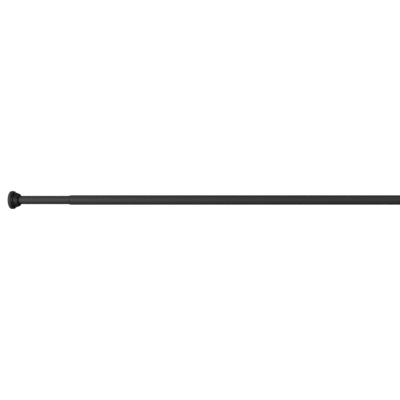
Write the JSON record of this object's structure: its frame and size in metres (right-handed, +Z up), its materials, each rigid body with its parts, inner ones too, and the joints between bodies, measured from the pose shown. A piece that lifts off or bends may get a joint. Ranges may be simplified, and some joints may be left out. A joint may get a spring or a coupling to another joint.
{
  "type": "door security bar",
  "caption": "Straight telescoping door security bar: a narrow tube in a wide one, round rubber feet on bell caps, and a hidden roller lock and twist screw that press it between two jambs.",
  "frame": {"origin": "centre of the fixed foot's contact face", "axes": "+X out of the fixed foot's contact face along the bar's axis, so the bar runs along -X to the swivel foot; +Z up"},
  "size_m": [1.2013, 0.0476, 0.0476],
  "materials": {
    "tube_coat": "satin black powder coat",
    "cap_plastic": "moulded black, fine texture",
    "foot_rubber": "matte black elastomer, ringed contact face",
    "ring_plastic": "moulded black, smooth",
    "plug_plastic": "moulded dark grey nylon",
    "roller_plastic": "natural acetal",
    "seal_rubber": "matte black rubber",
    "plated_steel": "bright zinc plate"
  },
  "bodies": {
    "outer_body": {"outer_tube": "tube_coat", "mouth_ring": "ring_plastic", "fixed_rubber_foot": "foot_rubber", "fixed_end_cap": "cap_plastic", "fixed_cap_screw": "plated_steel", "fixed_cap_washer": "plated_steel", "fixed_tube_plug": "plug_plastic"},
    "screw_body": {"spindle": "plated_steel", "spindle_stop_washer": "plated_steel", "spindle_clip": "plated_steel", "cam_washer": "plated_steel", "cam_screw": "plated_steel"},
    "cam": {"cam_roller": "roller_plastic", "cam_o_ring": "seal_rubber"},
    "swivel_foot": {"swivel_rubber_foot": "foot_rubber", "swivel_end_cap": "cap_plastic", "swivel_cap_washer": "plated_steel"},
    "inner_body": {"inner_tube": "tube_coat", "swivel_tube_plug": "plug_plastic", "swivel_cap_screw": "plated_steel", "guide_bushing": "plug_plastic", "nut_plug": "plug_plastic", "nut_plug_pins": "plated_steel"}
  },
  "joints": [
    {"name": "length_adjust", "type": "slide", "parent": "outer_body", "child": "screw_body", "axis": [-1, 0, 0], "range_m": [-0.1285, 0.59]},
    {"name": "cam_lock", "type": "hinge", "parent": "screw_body", "child": "cam", "pos_m": [-0.257, 0, 0.0012], "axis": [-1, 0, 0], "range_deg": [0, 31.5]},
    {"name": "screw_thrust", "type": "slide", "parent": "screw_body", "child": "swivel_foot", "axis": [-1, 0, 0], "range_m": [0, 0.04]},
    {"name": "tube_twist", "type": "hinge", "parent": "swivel_foot", "child": "inner_body", "pos_m": [-1.19, 0, 0], "axis": [-1, 0, 0], "range_deg": [0, 3600]}
  ],
  "couplings": [
    {"joint": "screw_thrust", "follows": "tube_twist", "m_per_rad": 0.0006366}
  ]
}
